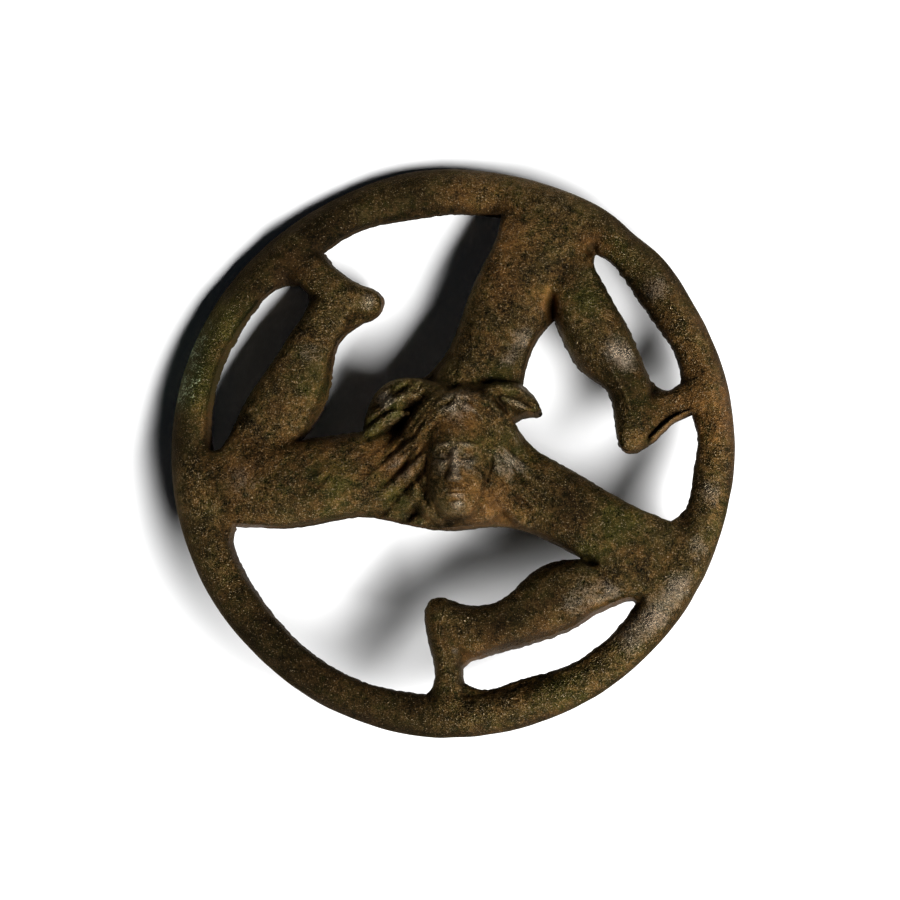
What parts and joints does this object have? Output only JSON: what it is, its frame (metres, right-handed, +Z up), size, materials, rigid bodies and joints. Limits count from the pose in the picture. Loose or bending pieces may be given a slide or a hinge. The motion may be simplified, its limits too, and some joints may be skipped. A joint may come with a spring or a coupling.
{
  "type": "openwork brooch",
  "caption": "Round openwork cast brooch: a ring holding bent running legs around a small winged mask head, with a straight pin behind.",
  "frame": {"origin": "on the surface that the brooch lies on, under the middle of the ring", "axes": "+Z up, +X to the right and +Y away as seen from above with the head upright; the roundel leans, raised at its lower edge, right of the middle, by the hinge lugs and the catch on its back"},
  "size_m": [0.0498, 0.0494, 0.0109],
  "materials": {
    "cast_bronze": "worn brown patina with faint green",
    "pin_wire": "dark worn bronze"
  },
  "bodies": {
    "root": {"roundel": "cast_bronze", "pin": "pin_wire"}
  },
  "joints": []
}
